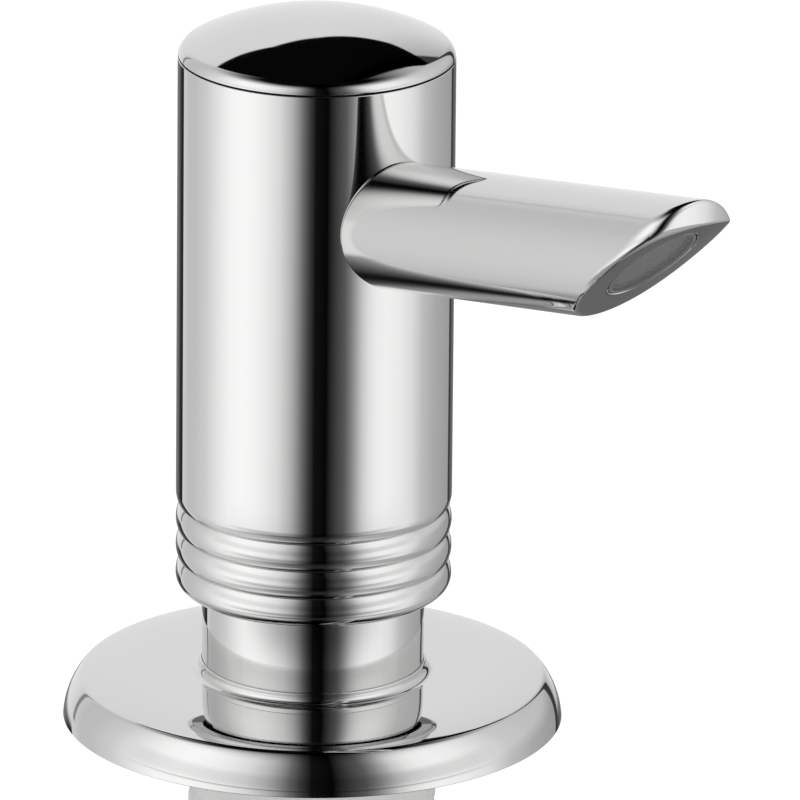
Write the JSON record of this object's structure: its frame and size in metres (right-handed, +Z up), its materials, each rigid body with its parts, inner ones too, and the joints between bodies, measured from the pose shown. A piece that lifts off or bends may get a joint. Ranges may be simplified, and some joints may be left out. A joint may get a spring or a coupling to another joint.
{
  "type": "soap dispenser",
  "caption": "Deck-mounted soap dispenser: ribbed press head with a rising cut-off spout, round deck plate, lift-out pump and a screw-on bottle below.",
  "frame": {"origin": "on the pump's vertical axis, on the top of the deck that the plate stands on", "axes": "+Z up along the pump's axis, +X towards the spout's tip at rest"},
  "size_m": [0.0979, 0.065, 0.2299],
  "materials": {
    "chrome": "mirror polished plating",
    "steel": "plain stainless",
    "grey_plastic": "fine moulded grain",
    "white_plastic": "fine moulded grain",
    "black_plastic": "moulded, slightly worn",
    "bottle_plastic": "blown, translucent",
    "tube_plastic": "extruded, translucent",
    "rubber": "matt"
  },
  "bodies": {
    "deck_unit": {"deck_plate": "chrome", "deck_seal": "rubber", "neck_sleeve": "chrome", "guide_ring": "white_plastic", "threaded_shank": "white_plastic", "clamp_seal": "rubber", "slip_washer": "steel", "fixing_nut": "black_plastic", "bottle": "bottle_plastic", "bottle_gasket": "rubber"},
    "pump_unit": {"barrel_seal": "rubber", "pump_barrel": "white_plastic", "barrel_cap": "white_plastic", "ball_cage": "white_plastic", "dip_tube": "tube_plastic", "return_spring": "steel"},
    "inlet_valve": {"inlet_ball": "steel"},
    "stem": {"piston": "rubber", "pump_stem": "white_plastic"},
    "outlet_valve": {"outlet_ball": "steel"},
    "head": {"head_body": "chrome", "top_cap": "chrome", "head_core": "grey_plastic", "stem_retainer": "steel", "spout": "chrome", "outlet_liner": "grey_plastic", "soap_tube": "tube_plastic", "tube_seal": "rubber"}
  },
  "joints": [
    {"name": "refill_lift", "type": "slide", "parent": "deck_unit", "child": "pump_unit", "axis": [0, 0, 1], "range_m": [0, 0.172]},
    {"name": "pump_press", "type": "slide", "parent": "pump_unit", "child": "stem", "axis": [0, 0, 1], "range_m": [-0.007, 0], "stiffness_N_per_m": 800, "springref_m": 0.01, "deforming": ["return_spring"]},
    {"name": "head_swivel", "type": "hinge", "parent": "stem", "child": "head", "pos_m": [0, 0, 0.04], "axis": [0, 0, 1], "continuous": true},
    {"name": "inlet_ball_lift", "type": "slide", "parent": "pump_unit", "child": "inlet_valve", "axis": [0, 0, 1], "range_m": [0, 0.002]},
    {"name": "outlet_ball_lift", "type": "slide", "parent": "stem", "child": "outlet_valve", "axis": [0, 0, 1], "range_m": [0, 0.002]}
  ]
}
